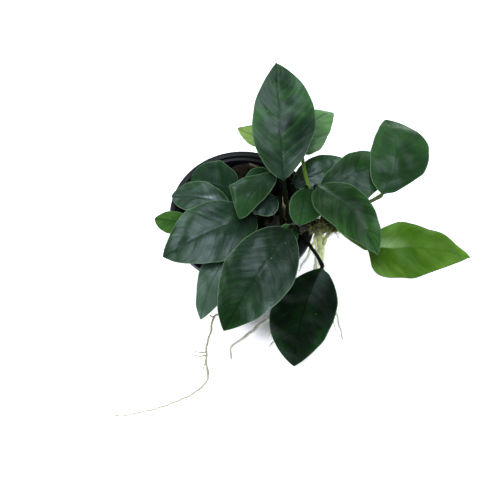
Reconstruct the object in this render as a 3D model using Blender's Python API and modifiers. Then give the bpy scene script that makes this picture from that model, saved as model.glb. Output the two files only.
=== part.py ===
"""Anubias nana growing on a stone that sits in a small round pot, at its real size.

The tables of leaves and roots are in millimetres, and MM turns them into Blender's metres. The
table top is z = 0, and the origin is the centre of the pot's flat underside.
"""
import math
from collections import namedtuple

import bmesh
import bpy
from mathutils import Vector, noise

MM = 0.001
CLEARANCE = 0.35
UP = Vector((0, 0, 1))

# Pot: a tapered cup with a flat lip and a small step inside it.
POT_HEIGHT = 45.0
LIP_RADIUS = 30.0
LIP_WIDTH = 2.3
LIP_SKIRT = 3.2
LIP_CHAMFER = 0.35
STEP_DEPTH = 1.3
STEP_WIDTH = 1.3
STEP_ROUNDING = 0.5
WALL_TOP_RADIUS = 27.4
WALL_FOOT_RADIUS = 18.0
WALL_THICKNESS = 1.2
FLOOR_THICKNESS = 1.5
FOOT_CHAMFER = 0.8
POT_STEPS = 40

# Stone: a block that fills the pot up to the lip at the back, and leans away from its front left.
STONE_TOP = 44.0
STONE_BOTTOM = FLOOR_THICKNESS + CLEARANCE
STONE_LEAN = Vector((2.2, 4.6, 0))
STONE_BACK_RISE = 3.0
STONE_WALL_GAP = 0.95
STONE_SEGMENTS = 22
STONE_RINGS = 13
STONE_SQUARENESS = 0.2
STONE_LUMP_SCALE = 1.7
STONE_LUMP_DEPTH = 0.14
STONE_GROOVE_EXCESS = 1.0

# Rhizome: the creeping stem on the stone, which runs out over the lip.
RHIZOME_RADIUS = 3.1
RHIZOME_PATH = (
    (2, 3, 43),
    (11, -2.8, 46.3),
    (21, -7.2, 48.4),
    (31, -7, 48.8),
    (39.5, -6.6, 47.4),
)
RHIZOME_POINTS = 26
RHIZOME_SCARS = 9
RHIZOME_SCAR_DEPTH = 0.08
RHIZOME_TAPER = 0.45
RHIZOME_SIDES_SETTING = 2

# Leaves: a blade and its stalk are one piece. A blade's roll turns its face towards its left side,
# seen from its base to its tip. Arch and sway bend the midrib up and to the left, by millimetres.
# Cup raises the margins, as a slope. The blade is widest at its belly. The seat is the stalk's
# place along the rhizome, from 0 to 1, and side is its angle round it from the top, towards the
# front.
BLADE_THICKNESS = 0.8
BLADE_COLUMNS = 4
BLADE_ROWS = 8
CREST_FULLNESS = 2.0
CUP_CURVE = 1.5
BASE_HALF_WIDTH = 0.7
TIP_HALF_WIDTH = 0.3
STALK_FOOT_RADIUS = 1.1
STALK_FOOT_GAP = 0.5
STALK_RADIUS = 0.8
STALK_TIP_RADIUS = 0.4
STALK_POINTS = 8
STALK_REACH_IN_BLADE = 0.12
STALK_DEPTH_IN_BLADE = 0.55
STALK_PULL = 0.38
STALK_TURN = 0.35
STALK_SIDES_SETTING = 1

Leaf = namedtuple("Leaf", "name base tip width roll arch sway cup belly fullness seat side")
LEAVES = [
    Leaf("leaf_01", (16.5, 3.5, 68), (14, 50, 82), 25.5, 0, 2.5, -1.2, -0.1, 0.42, 1.5, 0.46, -10),
    Leaf("leaf_02", (14, 25, 58), (-2, 31, 60), 9, 15, 1, 0.5, -0.1, 0.45, 1.5, 0.46, -80),
    Leaf("leaf_03", (24.3, 20.5, 60.5), (38, 41, 58), 14.5, 0, 2, 4, -0.1, 0.42, 1.3, 0.70, -50),
    Leaf("leaf_04", (31, 5, 57), (59, 18, 58), 21, 0, 2, 0, -0.2, 0.45, 1.5, 0.80, -60),
    Leaf("leaf_05", (26, 9.5, 53), (43, 21, 53), 15, -8, 1, 0, -0.1, 0.5, 1.4, 0.62, -80),
    Leaf("leaf_06", (56, 0.6, 62.5), (59, 36, 61), 23.5, 0, 3, -6.5, -0.15, 0.46, 1.2, 0.93, -15),
    Leaf("leaf_07", (29.5, -2, 70), (53.5, -25.5, 60), 18.5, 0, 3, 3.1, 0.3, 0.43, 1.5, 0.84, 0),
    Leaf("leaf_08", (52, -17.5, 50), (93, -18, 42), 26, 0, 2, 0.5, -0.1, 0.36, 1.5, 0.98, 45),
    Leaf("leaf_09", (26, -0.2, 63.3), (22.5, -12.6, 60.3), 12.5, 0, 1, 0, -0.1, 0.45, 1.5, 0.68, 0),
    Leaf("leaf_10", (11.5, 10.3, 64), (0.2, -9.8, 61), 17, 0, 2, -2.7, -0.4, 0.45, 1.2, 0.38, -50),
    Leaf("leaf_11", (-2, 9, 48), (-21.5, 14, 49), 24, 0, 1, 0, -0.1, 0.5, 1.3, 0.06, -40),
    Leaf("leaf_12", (-5, 2.5, 52), (-29, 7, 50), 15.5, 0, 2, 0, -0.1, 0.56, 1.5, 0.14, -20),
    Leaf("leaf_13", (-19, -7.5, 49), (-36, -3, 47.5), 10.5, 0, 1, 0, 0, 0.5, 1.5, 0.10, 40),
    Leaf("leaf_14", (6, -6, 55), (-32, -22, 51), 27, 0, 3, -1, -0.1, 0.45, 1.5, 0.28, 20),
    Leaf("leaf_15", (18.5, -16.5, 66), (-7.5, -52.5, 47), 28, 0, 3, 0, -0.1, 0.45, 1.5, 0.53, 40),
    Leaf("leaf_16", (32.2, -22.8, 42), (21.5, -54, 12), 26.5, 0, 2, -1.5, -0.1, 0.45, 1.5, 0.61, 90),
    Leaf("leaf_17", (-3, -14, 50), (-17, -43, 36), 15, -10, 5, 0, -0.1, 0.45, 1.5, 0.20, 60),
    Leaf("leaf_18", (13.7, 0.8, 59), (4.2, -6, 58), 10, 0, 1, 0, 0, 0.45, 1.5, 0.40, 10),
    Leaf("leaf_19", (18, -10.5, 53), (9, -14, 53), 9, 10, 1, 0, 0, 0.45, 1.5, 0.44, 80),
    Leaf("leaf_20", (14, 10.5, 54.5), (-0.5, 11, 52), 12, -12, 1, 0, 0, 0.45, 1.5, 0.30, -60),
]

# Roots: each hangs from the rhizome and lies on the table where it reaches it. The long one first
# crosses the pot's lip.
ROOT_SIDES_SETTING = 1
ROOT_POINT_SPACING = 4.0
Root = namedtuple("Root", "name top_radius end_radius path")
ROOTS = [
    Root("root_long", 0.7, 0.45, (
        (14, -8.5, 47), (11, -19, 47.5), (8.5, -29.5, 46.6), (6, -33.5, 38), (2, -34, 20), (-4, -29, 4),
        (-9.5, -25.8, 1), (-12.6, -27.4, 0.8), (-13.4, -33, 0.8), (-15.5, -42, 0.7), (-15, -50, 0.7),
        (-15, -56, 0.7), (-19, -60.5, 0.7), (-28, -65.5, 0.6), (-42, -70, 0.6), (-56, -72, 0.6),
    )),
    Root("root_thick", 1.0, 0.7, (
        (30.9, -7.7, 44.9), (31.4, -9.4, 41), (31.6, -11.1, 37.5), (31.4, -12.6, 34), (31, -14.8, 24),
        (28.6, -18, 12), (22, -22, 3), (16, -25, 1.4), (11, -27.6, 1.2), (3.3, -34.6, 1.1), (-1, -37.8, 1),
        (-4.4, -40.5, 1), (-4.8, -47, 0.9),
    )),
    Root("root_bent", 0.8, 0.6, (
        (33.3, -6, 44.7), (33.2, -6.4, 36), (32.8, -7.4, 26), (32.4, -9.5, 16), (31, -14.5, 6.5),
        (26.5, -22, 1.6), (20.5, -31, 1.1), (15, -37, 0.9), (11, -41, 0.8),
    )),
    Root("root_right", 0.8, 0.6, (
        (35.6, -7.9, 44.2), (34.2, -8.7, 41), (33.7, -9.4, 36), (33.5, -10.5, 28), (34.5, -13.5, 18),
        (37.5, -18.5, 7), (40.6, -26, 1.3), (43, -38, 0.8),
    )),
    Root("root_front", 0.7, 0.5, (
        (29.6, -10.9, 47.2), (29, -12.8, 45), (27.2, -15.8, 41), (25.6, -17.2, 37), (24.7, -17.7, 34),
        (23.5, -18.2, 28),
    )),
    Root("root_middle", 0.7, 0.5, (
        (29.8, -9.7, 45.2), (30.2, -11.8, 40.5), (30.2, -13.6, 36), (31.3, -16, 30), (32, -17, 23),
    )),
    Root("root_straight", 0.8, 0.5, (
        (31, -4.6, 45.1), (31.8, -4.2, 38), (32.2, -4.4, 28), (32.3, -5, 16), (32, -7, 6), (31, -10, 1),
    )),
    Root("root_short", 0.8, 0.5, (
        (37.2, -6.4, 44.2), (36.2, -6.8, 41.8), (35.6, -6.7, 39.6),
    )),
]

COLORS = {
    "leaf": (0.035, 0.10, 0.045),
    "pot": (0.012, 0.012, 0.016),
    "stone": (0.06, 0.045, 0.032),
    "rhizome": (0.16, 0.13, 0.06),
    "root": (0.55, 0.58, 0.32),
}
ROUGHNESS = {"leaf": 0.45, "pot": 0.4, "stone": 0.9, "rhizome": 0.8, "root": 0.6}


def remove_startup_objects():
    """Clears the scene without closing this file."""
    for old in list(bpy.data.objects):
        bpy.data.objects.remove(old, do_unlink=True)


def new_collection(name):
    collection = bpy.data.collections.new(name)
    bpy.context.scene.collection.children.link(collection)
    return collection


def give_material(part, kind):
    """A Principled material of its own for the part, in the colour of its kind."""
    material = bpy.data.materials.new(part.name)
    material.use_nodes = True
    shader = material.node_tree.nodes["Principled BSDF"]
    shader.inputs["Base Color"].default_value = (*COLORS[kind], 1)
    shader.inputs["Roughness"].default_value = ROUGHNESS[kind]
    shader.inputs["Metallic"].default_value = 0
    material.diffuse_color = (*COLORS[kind], 1)
    part.data.materials.clear()
    part.data.materials.append(material)


def object_from_bmesh(name, shape, collection, smooth_angle=None):
    mesh = bpy.data.meshes.new(name)
    shape.to_mesh(mesh)
    shape.free()
    if smooth_angle is not None:
        mesh.shade_smooth()
        mesh.set_sharp_from_angle(angle=math.radians(smooth_angle))
    made = bpy.data.objects.new(name, mesh)
    collection.objects.link(made)
    return made


def combine(part, other, operation):
    """Adds a Boolean with a helper, which is itself kept out of the render."""
    other.hide_render = True
    other.display_type = "WIRE"
    boolean = part.modifiers.new(operation.title(), "BOOLEAN")
    boolean.operation = operation
    boolean.object = other


def bump(t, peak, fullness):
    """Rises from 0 at t = 0 to 1 at the peak, and falls back to 0 at t = 1."""
    t = min(max(t, 0.0), 1.0)
    rise = (t / peak) ** (fullness * peak)
    fall = ((1 - t) / (1 - peak)) ** (fullness * (1 - peak))
    return rise * fall


def smooth_path(points, count):
    """A Catmull-Rom curve through the points, read at equal steps of its parameter."""
    points = [Vector(point) for point in points]
    ends = [2 * points[0] - points[1]] + points + [2 * points[-1] - points[-2]]
    path = []
    for index in range(count):
        place = index / (count - 1) * (len(points) - 1)
        span = min(int(place), len(points) - 2)
        t = place - span
        a, b, c, d = ends[span:span + 4]
        linear = (c - a) * t
        square = (2 * a - 5 * b + 4 * c - d) * t ** 2
        cube = (3 * b - a - 3 * c + d) * t ** 3
        path.append(0.5 * (2 * b + linear + square + cube))
    return path


def bezier_path(a, b, c, d, count):
    """A cubic curve from a to d, pulled by b and c between them."""
    path = []
    for index in range(count):
        t = index / (count - 1)
        u = 1 - t
        path.append(a * u ** 3 + 3 * b * u ** 2 * t + 3 * c * u * t ** 2 + d * t ** 3)
    return path


def tube(name, path, radii, sides_setting, collection):
    """A round closed tube along a path in millimetres, with a radius for each of its points."""
    data = bpy.data.curves.new(name, "CURVE")
    data.dimensions = "3D"
    data.bevel_depth = MM
    data.bevel_resolution = sides_setting
    data.use_fill_caps = True
    spline = data.splines.new("POLY")
    spline.points.add(len(path) - 1)
    for point, place, radius in zip(spline.points, path, radii):
        point.co = (*(place * MM), 1)
        point.radius = radius
    curve = bpy.data.objects.new(name + "_curve", data)
    bpy.context.scene.collection.objects.link(curve)
    evaluated = curve.evaluated_get(bpy.context.evaluated_depsgraph_get())
    mesh = bpy.data.meshes.new_from_object(evaluated)
    shape = bmesh.new()
    shape.from_mesh(mesh)
    bmesh.ops.remove_doubles(shape, verts=shape.verts, dist=0.01 * MM)
    bpy.data.objects.remove(curve, do_unlink=True)
    bpy.data.meshes.remove(mesh)
    return object_from_bmesh(name, shape, collection, smooth_angle=50)


def wall_radius(height):
    """The outside of the pot's wall at a height."""
    climb = height / (POT_HEIGHT - LIP_SKIRT)
    return WALL_FOOT_RADIUS + (WALL_TOP_RADIUS - WALL_FOOT_RADIUS) * climb


def make_pot(collection):
    """A turned cup: its profile climbs the inside, crosses the lip and runs down the outside."""
    step_inner = LIP_RADIUS - LIP_WIDTH - STEP_WIDTH
    step_height = POT_HEIGHT - STEP_DEPTH
    skirt_foot = POT_HEIGHT - LIP_SKIRT
    profile = [
        (0, FLOOR_THICKNESS),
        (wall_radius(FLOOR_THICKNESS) - WALL_THICKNESS, FLOOR_THICKNESS),
        (step_inner - STEP_ROUNDING, step_height - STEP_ROUNDING),
        (step_inner, step_height),
        (LIP_RADIUS - LIP_WIDTH, step_height),
        (LIP_RADIUS - LIP_WIDTH, POT_HEIGHT),
        (LIP_RADIUS - LIP_CHAMFER, POT_HEIGHT),
        (LIP_RADIUS, POT_HEIGHT - LIP_CHAMFER),
        (LIP_RADIUS, skirt_foot),
        (WALL_TOP_RADIUS, skirt_foot),
        (wall_radius(FOOT_CHAMFER), FOOT_CHAMFER),
        (WALL_FOOT_RADIUS - FOOT_CHAMFER, 0),
        (0, 0),
    ]
    shape = bmesh.new()
    corners = [shape.verts.new((radius * MM, 0, height * MM)) for radius, height in profile]
    for first, second in zip(corners, corners[1:]):
        shape.edges.new((first, second))
    pot = object_from_bmesh("pot", shape, collection)
    screw = pot.modifiers.new("Turn", "SCREW")
    screw.steps = POT_STEPS
    screw.render_steps = POT_STEPS
    screw.use_merge_vertices = True
    screw.merge_threshold = 0.01 * MM
    screw.use_smooth_shade = False
    give_material(pot, "pot")
    return pot


def stone_point(direction):
    """Moves a point of the unit sphere onto the stone: squarish, lumpy, and higher at the back."""
    flat = math.hypot(direction.x, direction.y)
    lumps = noise.noise(direction * STONE_LUMP_SCALE) + 0.5 * noise.noise(direction * STONE_LUMP_SCALE * 2)
    shrink = 1 - STONE_LUMP_DEPTH * (0.5 + 0.5 * lumps)
    climb = math.copysign(abs(direction.z) ** STONE_SQUARENESS, direction.z)
    out = Vector((direction.x, direction.y, 0)).normalized() * flat ** STONE_SQUARENESS
    height = (STONE_TOP + STONE_BOTTOM) / 2
    if climb > 0:
        height += climb * ((STONE_TOP - STONE_BOTTOM) / 2 * shrink + STONE_BACK_RISE * out.y)
    else:
        height += climb * (STONE_TOP - STONE_BOTTOM) / 2
    lean = STONE_LEAN * height / POT_HEIGHT
    reach = wall_radius(height) - WALL_THICKNESS - STONE_WALL_GAP - lean.length
    return lean + out * reach * shrink + UP * height


def make_stone(collection, helpers):
    """A lumpy stone with a groove in its top, in which the rhizome lies."""
    shape = bmesh.new()
    bmesh.ops.create_uvsphere(shape, u_segments=STONE_SEGMENTS, v_segments=STONE_RINGS, radius=1)
    for vert in shape.verts:
        vert.co = stone_point(vert.co.normalized()) * MM
    stone = object_from_bmesh("stone", shape, collection, smooth_angle=60)
    line = rhizome_line()
    line[0] += (line[0] - line[1]).normalized() * STONE_GROOVE_EXCESS
    groove = tube("stone_groove", line, rhizome_radii(CLEARANCE), RHIZOME_SIDES_SETTING, helpers)
    combine(stone, groove, "DIFFERENCE")
    give_material(stone, "stone")
    return stone


def rhizome_line():
    return smooth_path(RHIZOME_PATH, RHIZOME_POINTS)


def rhizome_radii(extra=0.0):
    """The stem's radius at each of its points: leaf scars ring it, and both ends taper."""
    radii = []
    for index in range(RHIZOME_POINTS):
        place = index / (RHIZOME_POINTS - 1)
        scars = 1 + RHIZOME_SCAR_DEPTH * math.sin(2 * math.pi * RHIZOME_SCARS * place)
        taper = bump(0.04 + 0.92 * place, 0.5, RHIZOME_TAPER)
        radii.append(RHIZOME_RADIUS * scars * taper + extra)
    return radii


def rhizome_seat(seat, side):
    """The point just off the rhizome's skin at a seat, and the direction out of the stem there."""
    line = rhizome_line()
    place = seat * (len(line) - 1)
    index = min(int(place), len(line) - 2)
    centre = line[index].lerp(line[index + 1], place - index)
    along = (line[index + 1] - line[index]).normalized()
    upward = (UP - along * along.z).normalized()
    frontward = along.cross(upward)
    if frontward.y > 0:
        frontward.negate()
    out = upward * math.cos(math.radians(side)) + frontward * math.sin(math.radians(side))
    return centre + out * (max(rhizome_radii()[index:index + 2]) + STALK_FOOT_GAP), out


def make_rhizome(collection):
    rhizome = tube("rhizome", rhizome_line(), rhizome_radii(), RHIZOME_SIDES_SETTING, collection)
    give_material(rhizome, "rhizome")
    return rhizome


def blade_point(leaf, t, v):
    """A point of the blade's upper face: t runs from base to tip, and v from -1, right, to 1, left."""
    base = Vector(leaf.base)
    chord = Vector(leaf.tip) - base
    along = chord.normalized()
    level_face = (UP - along * along.z).normalized()
    level_left = level_face.cross(along)
    roll = math.radians(leaf.roll)
    face = level_face * math.cos(roll) + level_left * math.sin(roll)
    left = level_left * math.cos(roll) - level_face * math.sin(roll)
    fullness = bump(t, leaf.belly, leaf.fullness)
    end_half_width = BASE_HALF_WIDTH + (TIP_HALF_WIDTH - BASE_HALF_WIDTH) * t
    half = max(leaf.width / 2 * fullness, end_half_width)
    crest = bump(t, 0.5, CREST_FULLNESS)
    rise = leaf.arch * crest + leaf.cup * half * abs(v) ** CUP_CURVE
    return base + chord * t + face * rise + left * (leaf.sway * crest + half * v)


def blade_face(leaf, t):
    """The direction out of the blade's upper face at its midrib."""
    step = 0.02
    ahead = blade_point(leaf, t + step, 0) - blade_point(leaf, max(t - step, 0), 0)
    across = blade_point(leaf, t, step) - blade_point(leaf, t, -step)
    return across.cross(ahead).normalized() * -1


def make_blade(leaf, collection):
    """A sheet bent to the blade's upper face, and thickened below it."""
    shape = bmesh.new()
    bmesh.ops.create_grid(shape, x_segments=BLADE_COLUMNS, y_segments=BLADE_ROWS, size=1)
    for vert in shape.verts:
        t = (1 - math.cos(math.pi * (vert.co.y + 1) / 2)) / 2
        vert.co = blade_point(leaf, t, -vert.co.x) * MM
    blade = object_from_bmesh(leaf.name, shape, collection, smooth_angle=50)
    solidify = blade.modifiers.new("Thicken", "SOLIDIFY")
    solidify.thickness = BLADE_THICKNESS * MM
    solidify.offset = -1
    return blade


def stalk_path(leaf):
    """From the rhizome, up in an arc to the blade's base, and a little way along under its midrib."""
    foot, out = rhizome_seat(leaf.seat, leaf.side)
    face = blade_face(leaf, 0.0)
    top = blade_point(leaf, 0, 0) - face * STALK_DEPTH_IN_BLADE
    inner = blade_point(leaf, STALK_REACH_IN_BLADE, 0) - face * STALK_DEPTH_IN_BLADE
    into_blade = (inner - top).normalized()
    straight = (top - foot).normalized()
    reach = (top - foot).length * STALK_PULL
    pull = straight.lerp(into_blade, STALK_TURN).normalized() * reach
    return bezier_path(foot, foot + out * reach, top - pull, top, STALK_POINTS) + [inner]


def make_leaf(leaf, collection, helpers):
    blade = make_blade(leaf, collection)
    path = stalk_path(leaf)
    radii = []
    for index in range(STALK_POINTS):
        climb = index / (STALK_POINTS - 1)
        radii.append(STALK_RADIUS + (STALK_FOOT_RADIUS - STALK_RADIUS) * (1 - climb) ** 3)
    radii.append(STALK_TIP_RADIUS)
    stalk = tube(leaf.name + "_stalk", path, radii, STALK_SIDES_SETTING, helpers)
    combine(blade, stalk, "UNION")
    give_material(blade, "leaf")
    return blade


def make_root(root, collection):
    corners = [Vector(corner) for corner in root.path]
    length = sum((after - before).length for before, after in zip(corners, corners[1:]))
    count = math.ceil(length / ROOT_POINT_SPACING) + 1
    path = smooth_path(corners, count)
    radii = []
    for index in range(count):
        radii.append(root.top_radius + (root.end_radius - root.top_radius) * index / (count - 1))
    made = tube(root.name, path, radii, ROOT_SIDES_SETTING, collection)
    give_material(made, "root")
    return made


def main():
    remove_startup_objects()
    plant = new_collection("anubias_nana_on_stone")
    helpers = new_collection("helpers")
    make_pot(plant)
    make_stone(plant, helpers)
    make_rhizome(plant)
    for leaf in LEAVES:
        make_leaf(leaf, plant, helpers)
    for root in ROOTS:
        make_root(root, plant)


main()
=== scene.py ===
"""Looks of the anubias nana on its stone: detailed leaves, rhizome, roots, stone and pot.

Every piece stands in the place of its CAD node. The tables repeat the sizes of the construction
script in millimetres, and MM turns them into metres. The camera is set to the photograph's angle.
"""

import math
from collections import namedtuple

import bpy
import numpy as np
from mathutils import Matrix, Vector, noise

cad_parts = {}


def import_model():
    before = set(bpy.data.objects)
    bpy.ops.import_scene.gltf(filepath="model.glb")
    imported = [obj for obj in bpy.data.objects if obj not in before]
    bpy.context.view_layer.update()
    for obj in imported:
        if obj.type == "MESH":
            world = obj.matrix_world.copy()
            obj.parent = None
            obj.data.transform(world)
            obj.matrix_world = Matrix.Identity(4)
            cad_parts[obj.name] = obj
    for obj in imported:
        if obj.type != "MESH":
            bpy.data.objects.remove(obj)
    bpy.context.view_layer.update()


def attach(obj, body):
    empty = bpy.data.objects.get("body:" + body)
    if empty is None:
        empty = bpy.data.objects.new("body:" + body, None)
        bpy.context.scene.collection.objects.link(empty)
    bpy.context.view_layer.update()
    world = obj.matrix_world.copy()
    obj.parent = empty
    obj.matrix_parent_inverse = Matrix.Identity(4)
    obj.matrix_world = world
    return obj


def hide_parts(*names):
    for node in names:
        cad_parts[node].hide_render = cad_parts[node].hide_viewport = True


MM = 0.001
UP = np.array((0.0, 0.0, 1.0))
TURN = 2 * math.pi

# Camera: the angle above the horizon, and the width that the frame shows at the target.
CAMERA_ELEVATION = 64.0
CAMERA_DISTANCE = 600.0
CAMERA_TARGET = (-1.0, -11.6, 45.0)
CAMERA_WIDTH = 196.0
SENSOR_WIDTH = 36.0

# Light: one very large soft box above and behind the plant, and a weak even fill.
SOFTBOX_SIZE = 5.4
SOFTBOX_DISTANCE = 6.0
SOFTBOX_DIRECTION = (-0.15, 0.08, 0.98)
SOFTBOX_POWER = 470.0
SOFTBOX_COLOR = (0.9, 0.96, 1.0)
FILL_COLOR = (0.85, 0.92, 1.0)
FILL_STRENGTH = 0.06
FLOOR_RADIUS = 4.5
SWEEP_RADIUS = 1.2
FLOOR_STEPS = 96
SWEEP_STEPS = 13
FLOOR_COLOR = (0.92, 0.92, 0.93)
FLOOR_GLOW = 0.9
FLOOR_SHADE = (0.89, 0.89, 0.97)
# A painted shadow on the floor before the pot: its glow falls near this place, from the far reach in to
# the near one, down to the least share.
FLOOR_PAINTED_SHADOW_PLACE = (10.5, -26.0, 0.0)
FLOOR_PAINTED_SHADOW_REACH = (4.0, 15.0)
FLOOR_PAINTED_SHADOW_LEAST = 0.12

# Pot: the profile is the construction script's, with its edges rounded.
POT_HEIGHT = 45.0
LIP_RADIUS = 30.0
LIP_WIDTH = 2.3
LIP_SKIRT = 3.2
STEP_DEPTH = 1.3
STEP_WIDTH = 1.3
WALL_TOP_RADIUS = 27.4
WALL_FOOT_RADIUS = 18.0
WALL_THICKNESS = 1.2
POT_FLOOR = 1.5
POT_STEPS = 192
EDGE_ROUNDING = 0.3
EDGE_POINTS = 4
POT_COLORS = ((0.0045, 0.005, 0.007), (0.0075, 0.0085, 0.012))
POT_DUST = (0.25, 0.26, 0.28)

# Stone
STONE_TOP = 44.0
STONE_BOTTOM = 1.85
STONE_LEAN = (2.2, 4.6, 0.0)
STONE_BACK_RISE = 5.0
STONE_WALL_GAP = 0.95
STONE_SQUARENESS = 0.2
STONE_LUMP_SCALE = 1.7
STONE_LUMP_DEPTH = 0.14
STONE_SEGMENTS = 220
STONE_RINGS = 150
STONE_GRAIN = ((0.22, 0.9), (0.5, 0.5), (1.1, 0.25))
STONE_PIT_DEPTH = 0.7
STONE_GROOVE_GAP = 0.3
STONE_GROOVE_STEPS = 120
STONE_COLORS = ((0.0025, 0.0018, 0.0012), (0.019, 0.0125, 0.007))
STONE_BEIGE = (0.07, 0.05, 0.03)
STONE_PORE = (0.008, 0.006, 0.004)
STONE_PATCH = (4.6, 23.0, 45.5)
STONE_PATCH_COLOR = (0.23, 0.175, 0.115)

# Rhizome
RHIZOME_RADIUS = 3.1
RHIZOME_PATH = (
    (2, 3, 43),
    (11, -2.8, 46.3),
    (21, -7.2, 48.4),
    (31, -7, 48.8),
    (39.5, -6.6, 47.4),
)
RHIZOME_POINTS = 26
RHIZOME_SCARS = 9
RHIZOME_SCAR_DEPTH = 0.08
RHIZOME_TAPER = 0.45
RHIZOME_RINGS = 260
RHIZOME_SIDES = 56
RHIZOME_COLORS = ((0.050, 0.046, 0.045), (0.170, 0.158, 0.160))
RHIZOME_MOSS = (0.030, 0.036, 0.012)
RHIZOME_DARK_END = (0.010, 0.008, 0.006)
RHIZOME_NEW_END = (0.070, 0.068, 0.020)
RHIZOME_COLLAR = (0.035, 0.026, 0.018)
STUMP_PATH = ((16.6, -4.2, 49.6), (16.9, -1, 52), (17, 1.5, 52.8), (17, 4.2, 53.2))
STUMP_RINGS = 40
STUMP_SIDES = 24
STUMP_COLORS = ((0.030, 0.026, 0.012), (0.50, 0.43, 0.30))
STUMP_STAIN = (0.10, 0.08, 0.04)

# Leaves: a row here is the construction script's row for the same leaf.
Leaf = namedtuple("Leaf", "name base tip width roll arch sway cup belly fullness seat side")
LEAVES = [
    Leaf("leaf_01", (16.5, 3.5, 68), (14, 50, 82), 25.5, 0, 2.5, -1.2, -0.1, 0.42, 1.5, 0.46, -10),
    Leaf("leaf_02", (14, 25, 58), (-2, 31, 60), 9, 15, 1, 0.5, -0.1, 0.45, 1.5, 0.46, -80),
    Leaf("leaf_03", (24.3, 20.5, 60.5), (38, 41, 58), 14.5, 0, 2, 4, -0.1, 0.42, 1.3, 0.70, -50),
    Leaf("leaf_04", (31, 5, 57), (59, 18, 58), 21, 0, 2, 0, -0.2, 0.45, 1.5, 0.80, -60),
    Leaf("leaf_05", (26, 9.5, 53), (43, 21, 53), 15, -8, 1, 0, -0.1, 0.5, 1.4, 0.62, -80),
    Leaf("leaf_06", (56, 0.6, 62.5), (59, 36, 61), 23.5, 0, 3, -6.5, -0.15, 0.46, 1.2, 0.93, -15),
    Leaf("leaf_07", (29.5, -2, 70), (53.5, -25.5, 60), 18.5, 0, 3, 3.1, 0.3, 0.43, 1.5, 0.84, 0),
    Leaf("leaf_08", (52, -17.5, 50), (93, -18, 42), 26, 0, 2, 0.5, -0.1, 0.36, 1.5, 0.98, 45),
    Leaf("leaf_09", (26, -0.2, 63.3), (22.5, -12.6, 60.3), 12.5, 0, 1, 0, -0.1, 0.45, 1.5, 0.68, 0),
    Leaf("leaf_10", (11.5, 10.3, 64), (0.2, -9.8, 61), 17, 0, 2, -2.7, -0.4, 0.45, 1.2, 0.38, -50),
    Leaf("leaf_11", (-2, 9, 48), (-21.5, 14, 49), 24, 0, 1, 0, -0.1, 0.5, 1.3, 0.06, -40),
    Leaf("leaf_12", (-5, 2.5, 52), (-29, 7, 50), 15.5, 0, 2, 0, -0.1, 0.56, 1.5, 0.14, -20),
    Leaf("leaf_13", (-19, -7.5, 49), (-36, -3, 47.5), 10.5, 0, 1, 0, 0, 0.5, 1.5, 0.10, 40),
    Leaf("leaf_14", (6, -6, 55), (-32, -22, 51), 27, 0, 3, -1, -0.1, 0.45, 1.5, 0.28, 20),
    Leaf("leaf_15", (18.5, -16.5, 66), (-7.5, -52.5, 47), 28, 0, 3, 0, -0.1, 0.45, 1.5, 0.53, 40),
    Leaf("leaf_16", (32.2, -22.8, 42), (21.5, -54, 12), 26.5, 0, 2, -1.5, -0.1, 0.45, 1.5, 0.61, 90),
    Leaf("leaf_17", (-3, -14, 50), (-17, -43, 36), 15, -10, 5, 0, -0.1, 0.45, 1.5, 0.20, 60),
    Leaf("leaf_18", (13.7, 0.8, 59), (4.2, -6, 58), 10, 0, 1, 0, 0, 0.45, 1.5, 0.40, 10),
    Leaf("leaf_19", (18, -10.5, 53), (9, -14, 53), 9, 10, 1, 0, 0, 0.45, 1.5, 0.44, 80),
    Leaf("leaf_20", (14, 10.5, 54.5), (-0.5, 11, 52), 12, -12, 1, 0, 0, 0.45, 1.5, 0.30, -60),
]
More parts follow.
